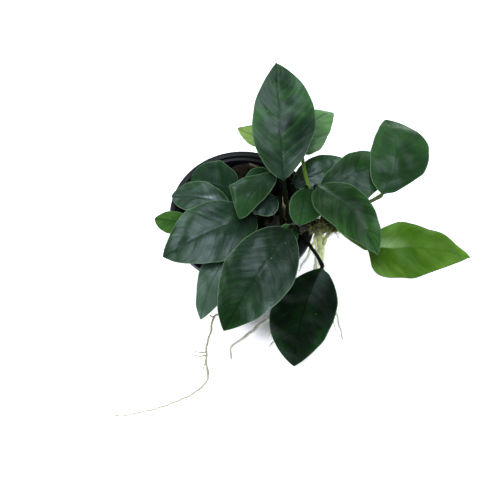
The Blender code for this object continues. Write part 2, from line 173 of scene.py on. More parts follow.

# Forms: what the living blade adds to its row. A side's width, base and tip multiply the row's own,
# its belly is added, its fold tilts the half up from the midrib, its curl lifts the margin, and its
# corner, from 0 to 1, makes the margin angular. A form's sway is added to the row's. Its ripple
# multiplies the relief and the dark streaks, its gloss the sheen, and its midrib the midrib's line.
# Its dusk is how far along the blade the painted shade at the base reaches.
Side = namedtuple("Side", "width belly base tip fold curl corner", defaults=(1, 0, 1, 1, 0, 0, 0))
Form = namedtuple("Form", "left right sway base_shift tip_shift ripple gloss dusk midrib",
                  defaults=(Side(), Side(), 0, (0, 0, 0), (0, 0, 0), 1, 1, 0, 1))
FORMS = {
    "leaf_01": Form(Side(0.88, base=1.2, tip=1.1), Side(1.1, base=1.45, tip=0.95), sway=1.4,
                    tip_shift=(-0.5, 0, 0), ripple=1.3, gloss=1.3),
    "leaf_02": Form(base_shift=(0, 1.4, 0), tip_shift=(0, 1.4, 0), gloss=0.5),
    "leaf_03": Form(Side(1.05), Side(1.25, base=1.1, tip=1.2)),
    "leaf_04": Form(Side(0.9, base=1.15, tip=0.62), Side(1.12, belly=-0.05, tip=0.87),
                    tip_shift=(1.5, 0, 0), ripple=1.8, gloss=1.1, dusk=0.3),
    "leaf_05": Form(Side(0.95), base_shift=(-5.5, 0.5, 0), ripple=1.6, gloss=2.2, dusk=0.3),
    "leaf_06": Form(Side(0.9, belly=0.05, base=1.3, tip=1.5, fold=-0.15),
                    Side(1.14, belly=0.04, base=0.85, tip=0.68),
                    sway=1.4, ripple=0.6, gloss=0.8, midrib=0.3),
    "leaf_07": Form(Side(1.1, belly=0.05, base=0.72, tip=0.93, fold=-0.6),
                    Side(1.23, belly=-0.04, base=0.9, tip=1.08),
                    sway=-0.5, base_shift=(0, 2.2, 0), ripple=1.6),
    "leaf_08": Form(Side(0.89, tip=0.85), Side(1.03, belly=-0.03, base=0.75), sway=0.5,
                    base_shift=(-1.5, 0, 0), ripple=0.5, gloss=0.35, midrib=0.3),
    "leaf_09": Form(Side(1.6, base=0.7), Side(0.85, tip=0.8), base_shift=(-0.5, 3.5, 0), gloss=0.4,
                    dusk=1.15),
    "leaf_10": Form(Side(0.55, belly=-0.05, base=0.6, tip=0.85),
                    Side(1.25, belly=0.14, curl=0.3, corner=0.85), sway=2.4, tip_shift=(-1.5, 0, 0),
                    gloss=0.8, midrib=0.4),
    "leaf_11": Form(right=Side(base=0.75, tip=0.7), gloss=0.6),
    "leaf_12": Form(Side(0.92), base_shift=(0, -0.7, 0), tip_shift=(0, -0.7, 0), gloss=2.5),
    "leaf_13": Form(Side(1.2), Side(0.95), gloss=0.3),
    "leaf_14": Form(Side(0.97), ripple=1.5, gloss=2.0, dusk=0.25),
    "leaf_15": Form(Side(0.97, tip=1.1), Side(1.04), ripple=1.6, gloss=1.45, dusk=0.3),
    "leaf_16": Form(Side(0.98, tip=1.1), Side(base=1.25, tip=0.9), sway=-0.7, ripple=0.8, gloss=0.42),
    "leaf_17": Form(right=Side(0.9), gloss=1.8),
    "leaf_18": Form(Side(1.1), Side(1.1), gloss=1.2, dusk=0.3),
    "leaf_19": Form(base_shift=(4.4, -1.6, 0), tip_shift=(4.4, -1.4, 0), gloss=0.3),
    "leaf_20": Form(Side(1.2), Side(1.2), gloss=0.3, dusk=1),
}
CREST_FULLNESS = 2.0
WAVER = 0.013
CUP_CURVE = 1.5
BASE_HALF_WIDTH = 0.7
TIP_HALF_WIDTH = 0.3
BLADE_ROWS = 84
BLADE_THICKNESS = 0.5
RIB_DEPTH = 0.95
RIB_WIDTH = 0.85
MIDRIB_GROOVE = 0.2
MIDRIB_GROOVE_WIDTH = 0.6
VEIN_SPACING = 4.4
VEIN_SLANT = 0.24
VEIN_RELIEF = 0.09
MARGIN_WAVE = 0.45
UNDULATION = 0.019

STALK_FOOT_GAP = 0.5
STALK_FOOT_DEPTH = 1.3
STALK_RADIUS = 0.74
STALK_FLARE = 0.9
STALK_FLARE_LENGTH = 2.4
STALK_PULL = 0.38
STALK_TURN = 0.35
STALK_RINGS = 40
JOINT_LENGTH = 2.6
JOINT_RINGS = 12
JOINT_SWELLING = 0.14
MERGE_LENGTH = 0.035

# The colour of the greater part of a leaf, and the fresher green towards its tip and margins. Both
# are multiplied by LEAF_TONE.
LEAF_COLORS = {
    "leaf_01": ((0.010, 0.028, 0.014), (0.056, 0.168, 0.048)),
    "leaf_02": ((0.210, 0.380, 0.095), (0.370, 0.580, 0.135)),
    "leaf_03": ((0.075, 0.200, 0.060), (0.180, 0.400, 0.130)),
    "leaf_04": ((0.013, 0.041, 0.012), (0.033, 0.112, 0.022)),
    "leaf_05": ((0.016, 0.060, 0.018), (0.028, 0.110, 0.025)),
    "leaf_06": ((0.014, 0.048, 0.014), (0.044, 0.128, 0.035)),
    "leaf_07": ((0.012, 0.041, 0.011), (0.046, 0.150, 0.029)),
    "leaf_08": ((0.044, 0.136, 0.003), (0.160, 0.355, 0.037)),
    "leaf_09": ((0.028, 0.100, 0.024), (0.048, 0.160, 0.036)),
    "leaf_10": ((0.015, 0.046, 0.015), (0.032, 0.098, 0.027)),
    "leaf_11": ((0.008, 0.031, 0.011), (0.018, 0.066, 0.020)),
    "leaf_12": ((0.011, 0.040, 0.016), (0.024, 0.085, 0.026)),
    "leaf_13": ((0.022, 0.070, 0.010), (0.064, 0.176, 0.028)),
    "leaf_14": ((0.009, 0.034, 0.014), (0.022, 0.085, 0.020)),
    "leaf_15": ((0.008, 0.030, 0.009), (0.015, 0.064, 0.011)),
    "leaf_16": ((0.003, 0.007, 0.003), (0.011, 0.044, 0.010)),
    # leaf_17's colours are lighter and bluer than its tissue: a painted sheen.
    "leaf_17": ((0.055, 0.110, 0.072), (0.075, 0.150, 0.085)),
    "leaf_18": ((0.006, 0.020, 0.010), (0.012, 0.042, 0.018)),
    "leaf_19": ((0.016, 0.060, 0.014), (0.028, 0.100, 0.020)),
    "leaf_20": ((0.014, 0.045, 0.018), (0.028, 0.090, 0.030)),
}
LEAF_TONE = 0.78
# Painted highlights: pale bands between the side veins, where a leaf has them.
PAINTED_BAND_HIGHLIGHTS = {
    "leaf_03": (0.26, 0.44, 0.22),
    "leaf_08": (0.17, 0.33, 0.05),
}
# A painted highlight to the left of the midrib near the base: its colour, and its reach in millimetres.
PAINTED_BASE_HIGHLIGHTS = {
    "leaf_07": ((0.070, 0.130, 0.080), 2.5),
    "leaf_08": ((0.46, 0.70, 0.30), 5.5),
    "leaf_12": ((0.10, 0.18, 0.14), 3.5),
    "leaf_16": ((0.035, 0.058, 0.045), 8.0),
}
# Places with more or less sheen: how far along the blade, millimetres to the left of the midrib,
# reach in millimetres, and gain.
SHEENS = {
    "leaf_01": ((0.3, 3, 10, 0.4), (0.25, -6, 8, 0.5), (0.45, -8, 7, -0.7), (0.8, -3, 14, -0.4),
                (0.05, 0, 8, -0.6)),
    "leaf_04": ((0.3, 5, 5, 1.0), (0.66, 4, 7, -0.7)),
    "leaf_06": ((0.9, -3.5, 5, 1.2), (0.4, 4, 8, 0.5), (0.6, -9.5, 6, -0.5)),
    "leaf_07": ((0.4, 1.5, 4, 1.0), (0.65, 2.5, 4, 0.8), (0.3, 6.5, 5, -0.95), (0.6, 8.5, 5, -0.95),
                (0.87, 2, 6, -0.5)),
    "leaf_10": ((0.5, -8.5, 5, 1.6), (0.3, -5, 4, 1.2), (0.2, 1, 7, 0.9), (0.95, 0, 8, -0.8)),
    "leaf_12": ((0.38, -1, 5, 1.6), (0.13, -3, 5, -0.8)),
    "leaf_14": ((0.5, 1, 14, 0.3), (0.95, 0, 9, -0.6), (0.2, -6, 8, -0.6)),
    "leaf_15": ((0.45, 5.5, 7, -0.6), (0.86, 0, 13, -0.85), (0.64, 11, 5, 2.5), (0.13, -1, 8, -0.6)),
    "leaf_16": ((0.22, 3, 6, 1.8), (0.5, -3, 9, -0.8), (0.8, 3, 8, -0.6)),
}
LEAF_SHEEN = (0.82, 0.93, 1.0)
LEAF_SPECULAR = 0.26
# Painted shade: the colour that a leaf's base darkens towards.
LEAF_PAINTED_SHADE = (0.004, 0.009, 0.004)
LEAF_SPECK = (0.3, 0.34, 0.3)
# The pale margin line is partly the margin's own paler tissue and partly a painted rim highlight.
MARGIN_STRENGTH = 0.55
MARGIN_COLOR = (0.15, 0.26, 0.13)
MARGIN_COLORS = {"leaf_03": (0.05, 0.12, 0.05), "leaf_08": (0.10, 0.10, 0.06)}
# The stalks' colour: dark brown-green, made darker still as painted shade in the crown; STALK_COLORS holds
# the stalks that differ.
STALK_COLOR = (0.006, 0.009, 0.003)
STALK_COLORS = {
    "leaf_03": (0.190, 0.340, 0.045),
    "leaf_06": (0.080, 0.115, 0.030),
    "leaf_08": (0.150, 0.240, 0.045),
    "leaf_16": (0.006, 0.007, 0.004),
}

# Roots: a row here is the construction script's row for the same root.
Root = namedtuple("Root", "name top_radius end_radius path")
ROOTS = [
    Root("root_long", 0.7, 0.45, (
        (14, -8.5, 47), (11, -19, 47.5), (8.5, -29.5, 46.6), (6, -33.5, 38), (2, -34, 20), (-4, -29, 4),
        (-9.5, -25.8, 1), (-12.6, -27.4, 0.8), (-13.4, -33, 0.8), (-15.5, -42, 0.7), (-15, -50, 0.7),
        (-15, -56, 0.7), (-19, -60.5, 0.7), (-28, -65.5, 0.6), (-42, -70, 0.6), (-56, -72, 0.6),
    )),
    Root("root_thick", 1.0, 0.7, (
        (30.9, -7.7, 44.9), (31.4, -9.4, 41), (31.6, -11.1, 37.5), (31.4, -12.6, 34), (31, -14.8, 24),
        (28.6, -18, 12), (22, -22, 3), (16, -25, 1.4), (11, -27.6, 1.2), (3.3, -34.6, 1.1), (-1, -37.8, 1),
        (-4.4, -40.5, 1), (-4.8, -47, 0.9),
    )),
    Root("root_bent", 0.8, 0.6, (
        (33.3, -6, 44.7), (33.2, -6.4, 36), (32.8, -7.4, 26), (32.4, -9.5, 16), (31, -14.5, 6.5),
        (26.5, -22, 1.6), (20.5, -31, 1.1), (15, -37, 0.9), (11, -41, 0.8),
    )),
    Root("root_right", 0.8, 0.6, (
        (35.6, -7.9, 44.2), (34.2, -8.7, 41), (33.7, -9.4, 36), (33.5, -10.5, 28), (34.5, -13.5, 18),
        (37.5, -18.5, 7), (40.6, -26, 1.3), (43, -38, 0.8),
    )),
    Root("root_front", 0.7, 0.5, (
        (29.6, -10.9, 47.2), (29, -12.8, 45), (27.2, -15.8, 41), (25.6, -17.2, 37), (24.7, -17.7, 34),
        (23.5, -18.2, 28),
    )),
    Root("root_middle", 0.7, 0.5, (
        (29.8, -9.7, 45.2), (30.2, -11.8, 40.5), (30.2, -13.6, 36), (31.3, -16, 30), (32, -17, 23),
    )),
    Root("root_straight", 0.8, 0.5, (
        (31, -4.6, 45.1), (31.8, -4.2, 38), (32.2, -4.4, 28), (32.3, -5, 16), (32, -7, 6), (31, -10, 1),
    )),
    Root("root_short", 0.8, 0.5, (
        (37.2, -6.4, 44.2), (36.2, -6.8, 41.8), (35.6, -6.7, 39.6),
    )),
]
ROOT_SIDES = 14
ROOT_RING_SPACING = 0.6
ROOT_WANDER = 0.12
ROOT_SLIMNESS = 0.8
ROOT_STEPS = 400
THICK_ROOTS = {"root_thick": 1.7, "root_bent": 1.3, "root_right": 1.35, "root_straight": 1.25}
# Roots' colours: dark and pale where they hang, and the colour where they lie.
PALE_ROOT_COLORS = ((0.58, 0.66, 0.28), (0.86, 0.90, 0.58), (0.93, 0.95, 0.84))
BROWN_ROOT_COLORS = ((0.30, 0.27, 0.13), (0.55, 0.50, 0.30), (0.52, 0.49, 0.36))
ROOT_STAIN = (0.15, 0.13, 0.04)
ROOT_TIP = (0.10, 0.09, 0.05)

# Rootlets: thin side branches of the roots, which lie on the floor.
ROOTLET_RADIUS = 0.36
ROOTLET_RINGS = 60
ROOTLET_SHARE = 0.45
ROOTLETS = {
    "rootlet_side": ((-15.4, -43.1, 0.7), (-17, -43.3, 0.9), (-18.6, -43.1, 0.6), (-21.7, -42.2, 0.4)),
    "rootlet_side_low": ((-15.3, -44.6, 0.7), (-18.4, -44.9, 0.5), (-21.2, -44.2, 0.4)),
    "rootlet_loop": ((-14, -26, 0.5), (-12.9, -26.9, 1.1), (-11.3, -26, 0.6), (-9.6, -25.6, 0.5)),
    "rootlet_short": ((-15, -47, 0.7), (-16.2, -49, 0.5), (-16.6, -51, 0.4)),
    "rootlet_bend": ((-15, -50, 0.7), (-14.4, -51.6, 0.5), (-14.2, -53.4, 0.4)),
    "rootlet_right": ((38.8, -24, 1.4), (39.4, -30, 0.7), (40.8, -35, 0.4)),
    "rootlet_middle": ((22, -22, 2.8), (15, -30, 0.8), (10.5, -36.5, 0.4)),
}
# Threads: the fuzz of fine fibres at the rhizome's right end, and the hairs on the roots.
THREAD_SIDES = 5
THREAD_POINTS = 8
FIBRE_COUNT = 700
FIBRE_RADIUS = 0.1
FIBRE_LENGTHS = (1.5, 4.5)
FIBRE_PLACES = (0.66, 1.0)
FIBRE_TURNS = (-70, 85)
FIBRE_STEPS = 200
FIBRE_COLORS = ((0.060, 0.065, 0.014), (0.42, 0.44, 0.14))
HAIR_COUNT = 30
HAIR_RADIUS = 0.055
HAIR_LENGTHS = (0.8, 2.4)
HAIR_STEPS = 300
HAIR_ROWS = (120, 290)
LOWEST = 0.02


def unit(vectors):
    vectors = np.asarray(vectors, float)
    return vectors / np.linalg.norm(vectors, axis=-1, keepdims=True)


def smoothstep(low, high, value):
    share = np.clip((value - low) / (high - low), 0, 1)
    return share * share * (3 - 2 * share)


def bump(t, peak, fullness, base=1.0, tip=1.0):
    """Rises from 0 at t = 0 to 1 at the peak, and falls back to 0 at t = 1."""
    t = np.clip(t, 0, 1)
    rise = (t / peak) ** (fullness * peak * base)
    fall = ((1 - t) / (1 - peak)) ** (fullness * (1 - peak) * tip)
    return rise * fall


def smooth_path(points, count):
    """A Catmull-Rom curve through the points, read at equal steps of its parameter."""
    points = np.array(points, float)
    ends = np.vstack([2 * points[0] - points[1], points, 2 * points[-1] - points[-2]])
    place = np.linspace(0, len(points) - 1, count)
    span = np.minimum(place.astype(int), len(points) - 2)
    t = (place - span)[:, None]
    a, b, c, d = (ends[span + step] for step in range(4))
    linear = (c - a) * t
    square = (2 * a - 5 * b + 4 * c - d) * t ** 2
    cube = (3 * b - a - 3 * c + d) * t ** 3
    return 0.5 * (2 * b + linear + square + cube)


def bezier_path(a, b, c, d, count):
    """A cubic curve from a to d, pulled by b and c between them."""
    t = np.linspace(0, 1, count)[:, None]
    return a * (1 - t) ** 3 + 3 * b * (1 - t) ** 2 * t + 3 * c * (1 - t) * t ** 2 + d * t ** 3


def lengths_along(path):
    steps = np.linalg.norm(np.diff(path, axis=0), axis=1)
    return np.concatenate([[0], np.cumsum(steps)])


def read_path(path, run, stops):
    """The path's points at the given distances along it."""
    return np.stack([np.interp(stops, run, path[:, axis]) for axis in range(3)], -1)


def angles(count):
    return np.linspace(0, TURN, count, endpoint=False)


def carried_frames(path, side):
    """A side and an upward vector, carried along the path without twist."""
    tangents = unit(np.gradient(path, axis=0))
    sides = []
    for tangent in tangents:
        side = unit(side - tangent * np.dot(side, tangent))
        sides.append(side)
    sides = np.array(sides)
    return sides, np.cross(tangents, sides)


def make_object(name, data):
    made = bpy.data.objects.new(name, data)
    bpy.context.scene.collection.objects.link(made)
    return made


def make_mesh(name, points, faces):
    """A smooth mesh of points in metres."""
    mesh = bpy.data.meshes.new(name)
    mesh.from_pydata(points.reshape(-1, 3).tolist(), [], faces)
    mesh.shade_smooth()
    return make_object(name, mesh)


def point_numbers(rings):
    return np.arange(rings[..., 0].size).reshape(rings.shape[:-1])


def quads_between(index):
    """The faces between each ring and the next, from the numbers of the rings' points."""
    after = np.roll(index, -1, axis=-1)
    low, high = np.s_[..., :-1, :], np.s_[..., 1:, :]
    return np.stack([index[low], after[low], after[high], index[high]], -1).reshape(-1, 4).tolist()


def loft(name, rings):
    """A closed skin over rings of points in millimetres, with a fan on each end."""
    index = point_numbers(rings)
    after = np.roll(index, -1, axis=1)
    centres = np.full(rings.shape[1], index.size)
    start_fan = np.stack([centres, after[0], index[0]], -1)
    end_fan = np.stack([centres + 1, index[-1], after[-1]], -1)
    points = np.vstack([rings.reshape(-1, 3), rings[0].mean(0), rings[-1].mean(0)])
    return make_mesh(name, points * MM, quads_between(index) + start_fan.tolist() + end_fan.tolist())


def give_attribute(piece, name, values):
    """A number for each point of a loft, or for each ring; the end points take their ring's mean."""
    values = np.asarray(values, float)
    if values.ndim == 1:
        sides = (len(piece.data.vertices) - 2) // len(values)
        values = values[:, None] * np.ones(sides)
    flat = np.concatenate([values.ravel(), [values[0].mean(), values[-1].mean()]])
    layer = piece.data.attributes.new(name, "FLOAT", "POINT")
    layer.data.foreach_set("value", flat.astype(np.float32))


def rings_around(path, side, upward, radii, sides):
    """Round rings along a path; radii has one number a ring, or one for each point of each ring."""
    angle = angles(sides)[None, :, None]
    radii = np.asarray(radii, float).reshape(len(path), -1, 1)
    around = side[:, None] * np.cos(angle) + upward[:, None] * np.sin(angle)
    return path[:, None] + around * radii


def tube_rings(path, radii, sides):
    """Rings about directions that are carried along the path."""
    start = unit(path[1] - path[0])
    across = np.cross(start, UP) if abs(start[2]) < 0.9 else np.cross(start, (1.0, 0.0, 0.0))
    return rings_around(path, *carried_frames(path, unit(across)), radii, sides)


def turned(profile, steps):
    """Rings about the upright axis through a profile of radii and heights."""
    angle = angles(steps)
    around = np.stack([np.cos(angle), np.sin(angle), np.zeros(steps)], -1)
    return around[None] * profile[:, 0, None, None] + UP * profile[:, 1, None, None]


def scaled(color, factor):
    return tuple(factor * part for part in color)


def dress(piece, node, material):
    """Gives the piece its material and its place in the model."""
    piece.data.materials.append(material)
    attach(piece, "root")
    if node:
        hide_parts(node)


class Look:
    """A Principled material; the methods that work out a number or a colour return its socket."""

    def __init__(self, name, **constants):
        self.material = bpy.data.materials.new(name)
        self.material.use_nodes = True
        self.tree = self.material.node_tree
        self.shader = self.tree.nodes["Principled BSDF"]
        for socket, value in constants.items():
            self.shader.inputs[socket.replace("_", " ")].default_value = value

    def add(self, kind, inputs=(), **settings):
        node = self.tree.nodes.new("ShaderNode" + kind)
        for setting, value in settings.items():
            setattr(node, setting, value)
        for socket, value in dict(inputs).items():
            self.feed(node.inputs[socket], value)
        return node

    def feed(self, socket, value):
        if isinstance(value, bpy.types.NodeSocket):
            self.tree.links.new(value, socket)
        elif isinstance(value, tuple) and socket.type == "RGBA":
            socket.default_value = (*value, 1)
        else:
            socket.default_value = value

    def set(self, socket, value):
        self.feed(self.shader.inputs[socket], value)

    def place(self):
        """The point on the piece, in metres."""
        return self.add("TexCoord").outputs["Object"]

    def attribute(self, name):
        return self.add("Attribute", attribute_name=name).outputs["Fac"]

    def math(self, operation, first, second=0.0):
        return self.add("Math", {0: first, 1: second}, operation=operation).outputs[0]

    def times(self, first, second):
        return self.math("MULTIPLY", first, second)

    def plus(self, first, second):
        return self.math("ADD", first, second)

    def minus(self, first, second):
        return self.math("SUBTRACT", first, second)

    def ramp(self, value, low, high, start=0.0, end=1.0):
        """Smoothly from start, where the value is low, to end, where it is high."""
        sockets = {"Value": value, 1: low, 2: high, 3: start, 4: end}
        return self.add("MapRange", sockets, interpolation_type="SMOOTHSTEP").outputs[0]

    def fade(self, value, low, high):
        """Smoothly from 1, where the value is low, to 0, where it is high."""
        return self.ramp(value, low, high, 1.0, 0.0)

    def mix(self, share, first, second):
        return self.add("Mix", {0: share, 6: first, 7: second}, data_type="RGBA").outputs[2]

    def layers(self, color, layers):
        """The colour under others: each layer is the share that it covers, and its own colour."""
        for share, over in layers:
            color = self.mix(share, color, over)
        return color

    def noise(self, scale, detail=3.0, vector=None, roughness=0.55):
        sockets = {"Scale": scale, "Detail": detail, "Roughness": roughness}
        sockets["Vector"] = vector or self.place()
        return self.add("TexNoise", sockets).outputs["Fac"]

    def patches(self, scale, detail, low, high, start=0.0, end=1.0):
        """Noise, sharpened into patches."""
        return self.ramp(self.noise(scale, detail), low, high, start, end)

    def cells(self, scale):
        """The distance to the nearest of scattered points, in cells."""
        return self.add("TexVoronoi", {"Scale": scale, "Vector": self.place()}).outputs["Distance"]

    def distance(self, first, second):
        return self.add("VectorMath", {0: first, 1: second}, operation="DISTANCE").outputs["Value"]

    def vector(self, x, y, z):
        return self.add("CombineXYZ", {0: x, 1: y, 2: z}).outputs[0]

    def surface(self, color, roughness, height, depth, strength=1.0):
        """Sets the colour, the roughness and a fine relief, whose depth is in millimetres."""
        self.set("Base Color", color)
        self.set("Roughness", roughness)
        sockets = {"Height": height, "Distance": depth * MM, "Strength": strength}
        self.set("Normal", self.add("Bump", sockets).outputs[0])
        return self.material


def make_camera():
    elevation = math.radians(CAMERA_ELEVATION)
    back = Vector((0, -math.cos(elevation), math.sin(elevation)))
    data = bpy.data.cameras.new("camera")
    data.sensor_width = SENSOR_WIDTH
    data.lens = SENSOR_WIDTH * CAMERA_DISTANCE / CAMERA_WIDTH
    data.clip_start = 0.01
    camera = make_object("camera", data)
    camera.location = (Vector(CAMERA_TARGET) + back * CAMERA_DISTANCE) * MM
    camera.rotation_euler = (-back).to_track_quat("-Z", "Y").to_euler()
    bpy.context.scene.camera = camera


def make_light():
    scene = bpy.context.scene
    scene.view_settings.view_transform = "Standard"
    world = bpy.data.worlds.new("studio")
    world.use_nodes = True
    background = world.node_tree.nodes["Background"]
    background.inputs["Color"].default_value = (*FILL_COLOR, 1)
    background.inputs["Strength"].default_value = FILL_STRENGTH
    scene.world = world
    data = bpy.data.lights.new("softbox", "AREA")
    data.size = SOFTBOX_SIZE
    data.energy = SOFTBOX_POWER
    data.color = SOFTBOX_COLOR
    softbox = make_object("softbox", data)
    direction = Vector(SOFTBOX_DIRECTION).normalized()
    softbox.location = direction * SOFTBOX_DISTANCE
    softbox.rotation_euler = direction.to_track_quat("Z", "Y").to_euler()


def make_floor():
    """A pale floor that curves up into a low wall all around, with a painted shadow before the pot, where
    it glows less.
    """
    climb = np.linspace(0, math.pi / 2, SWEEP_STEPS)
    reach = FLOOR_RADIUS + SWEEP_RADIUS * np.sin(climb)
    height = SWEEP_RADIUS * (1 - np.cos(climb))
    rings = turned(np.stack([reach, height], -1), FLOOR_STEPS)
    index = point_numbers(rings)
    # The sweep is seen from inside, so its faces run the other way.
    quads = [[a, d, c, b] for a, b, c, d in quads_between(index)]
    floor = make_mesh("floor", rings, [index[0].tolist()] + quads)
    look = Look("floor", Roughness=0.9)
    look.set("Base Color", FLOOR_COLOR)
    look.set("Emission Color", FLOOR_SHADE)
    near, far = scaled(FLOOR_PAINTED_SHADOW_REACH, MM)
    away = look.distance(look.place(), scaled(FLOOR_PAINTED_SHADOW_PLACE, MM))
    # Painted shadow: less glow near the place before the pot.
    look.set("Emission Strength", look.ramp(away, near, far, FLOOR_PAINTED_SHADOW_LEAST * FLOOR_GLOW, FLOOR_GLOW))
    floor.data.materials.append(look.material)


def rhizome_line(count=RHIZOME_POINTS):
    return smooth_path(RHIZOME_PATH, count)


def rhizome_radius(place):
    """The stem's radius at a place along it, from 0 to 1."""
    scars = 1 + RHIZOME_SCAR_DEPTH * np.sin(TURN * RHIZOME_SCARS * place)
    return RHIZOME_RADIUS * scars * bump(0.04 + 0.92 * place, 0.5, RHIZOME_TAPER)


def out_of_stem(along, degrees):
    """The direction out of the stem, turned from straight up towards the front."""
    upward = unit(UP - along * along[2])
    frontward = np.cross(along, upward)
    frontward *= -np.sign(frontward[1])
    turn = math.radians(degrees)
    return upward * math.cos(turn) + frontward * math.sin(turn)


def rhizome_seat(seat, side):
    """The point just off the rhizome's skin at a seat, and the direction out of the stem there."""
    line = rhizome_line()
    place = seat * (len(line) - 1)
    index = min(int(place), len(line) - 2)
    step = line[index + 1] - line[index]
    out = out_of_stem(unit(step), side)
    radius = rhizome_radius(np.array((index, index + 1)) / (len(line) - 1)).max()
    return line[index] + step * (place - index) + out * (radius + STALK_FOOT_GAP), out


def leaf_number(leaf):
    return int(leaf.name[-2:])


def blade_length(leaf):
    return float(np.linalg.norm(np.subtract(leaf.tip, leaf.base)))


def blade_frame(leaf):
    """The blade's base, its chord, and the directions out of its face and to its left."""
    form = FORMS[leaf.name]
    base = np.add(leaf.base, form.base_shift)
    chord = np.add(leaf.tip, form.tip_shift) - base
    along = unit(chord)
    level_face = unit(UP - along * along[2])
    level_left = np.cross(level_face, along)
    roll = math.radians(leaf.roll)
    face = level_face * math.cos(roll) + level_left * math.sin(roll)
    left = level_left * math.cos(roll) - level_face * math.sin(roll)
    return base, chord, face, left


def on_sides(v, left, right):
    return np.where(np.asarray(v) > 0, left, right)


def blade_half_width(leaf, t, v):
    """From the midrib to the margin, on the side that v is on."""
    form = FORMS[leaf.name]
    halves = []
    for side in (form.left, form.right):
        peak = leaf.belly + side.belly
        soft = bump(t, peak, leaf.fullness, side.base, side.tip)
        angular = np.minimum(np.clip(t, 0, 1) / peak, (1 - np.clip(t, 0, 1)) / (1 - peak))
        halves.append(leaf.width / 2 * side.width * (soft + (angular - soft) * side.corner))
    end = BASE_HALF_WIDTH + (TIP_HALF_WIDTH - BASE_HALF_WIDTH) * t
    phase = leaf_number(leaf) * 1.7 + np.sign(v)
    waver = 1 + WAVER * (np.sin(16 * t + phase) + 0.6 * np.sin(31 * t + 2 * phase))
    return np.maximum(on_sides(v, *halves) * waver, end)


def blade_surface(leaf, t, v):
    """Points of the plain upper face: t runs from base to tip, and v from -1, right, to 1, left."""
    form = FORMS[leaf.name]
    base, chord, face, left = blade_frame(leaf)
    half = blade_half_width(leaf, t, v)
    crest = bump(t, 0.5, CREST_FULLNESS)
    fold = on_sides(v, form.left.fold, form.right.fold)
    curl = on_sides(v, form.left.curl, form.right.curl)
    across = np.abs(v)
    rise = leaf.arch * crest + half * (leaf.cup * across ** CUP_CURVE + fold * across + curl * across ** 4)
    aside = (leaf.sway + form.sway) * crest + half * v
    return base + chord * t[..., None] + face * rise[..., None] + left * aside[..., None]


def columns():
    """Places across the blade, from its left margin to its right: close at midrib and margins."""
    half = np.concatenate([
        np.linspace(0, 0.09, 4),
        np.linspace(0.13, 0.88, 13),
        (0.93, 0.965, 0.99, 1.0),
    ])
    return np.concatenate([half[::-1], -half[1:]])


def veins(leaf, t, v):
    """A number that grows by one from a side vein to the next, towards the tip."""
    length = blade_length(leaf)
    count = max(round(length / VEIN_SPACING), 3)
    offset = 0.25 * np.sign(v)
    return count * (t - VEIN_SLANT * np.abs(v) ** 1.35) + offset


def relief(leaf, t, v, rng):
    """How far the living surface stands above the plain one."""
    half = blade_half_width(leaf, t, v)
    length = blade_length(leaf)
    ripple = FORMS[leaf.name].ripple
    size = min(leaf.width / 25, 1)
    inner = smoothstep(0, 0.12, np.abs(v)) * (1 - smoothstep(0.72, 0.98, np.abs(v)))
    inner = inner * smoothstep(0.02, 0.18, t) * (1 - smoothstep(0.8, 0.98, t))
    drift = 0.35 * np.sin(TURN * (1.3 * t + 0.6 * v) + rng.uniform(0, 6))
    quilt = np.sin(math.pi * (veins(leaf, t, v) + drift)) ** 2
    strength = 0.75 + 0.5 * np.sin(TURN * (0.9 * t - 0.5 * v) + rng.uniform(0, 6))
    rise = VEIN_RELIEF * ripple * size * inner * strength * (quilt - 0.6)
    waves = rng.uniform(1.5, 2.6, 2)
    phases = rng.uniform(0, TURN, 2)
    for sign, wave, phase in zip((-1, 1), waves, phases):
        on_side = np.clip(sign * v, 0, 1) ** 2.5
        ends = np.sin(math.pi * np.clip(t, 0, 1)) ** 0.7
        rise = rise + MARGIN_WAVE * size * on_side * ends * np.sin(TURN * wave * t + phase)
    for wavelength in (6.5, 8.5, 11, 14, 18, 24):
        angle = rng.uniform(0, math.pi)
        phase = rng.uniform(0, TURN)
        run = (t * length * math.cos(angle) + v * half * math.sin(angle)) / wavelength
        rise = rise + UNDULATION * wavelength * np.sin(TURN * run + phase)
    return rise * (1 - smoothstep(0.85, 1, t))


def blade_rings(leaf, t, v, midrib):
    """The blade's skin: each ring runs over the upper face from left to right, and back below."""
    _, _, face, left = blade_frame(leaf)
    t_top, v_top = np.meshgrid(t, v, indexing="ij")
    half = blade_half_width(leaf, t_top, v_top)
    top = blade_surface(leaf, t_top, v_top)
    rise = relief(leaf, t_top, v_top, np.random.default_rng(leaf_number(leaf)))
    across = half * v_top
    groove = MIDRIB_GROOVE * np.exp(-((across / MIDRIB_GROOVE_WIDTH) ** 2)) * smoothstep(0.03, 0.15, t_top)
    upper = top + face * (rise - groove)[..., None]
    edge = np.sqrt(np.clip(1 - np.abs(v_top) ** 14, 0, 1))
    rib = RIB_DEPTH * (1 - t_top) ** 1.3 * np.exp(-((across / RIB_WIDTH) ** 2))
    depth = BLADE_THICKNESS * (0.5 + 0.5 * (1 - np.abs(v_top))) * edge + rib + 0.1 * edge
    depth = depth * (1 - 0.6 * smoothstep(0.88, 1, t_top))
    lower = top + face * (rise - depth)[..., None]
    blade = np.concatenate([upper, lower[:, -2:0:-1]], axis=1)
    end = rings_around(midrib, left[None], face[None], np.full(len(t), STALK_RADIUS), blade.shape[1])
    share = smoothstep(0, MERGE_LENGTH, t)[:, None, None]
    return end * (1 - share) + blade * share


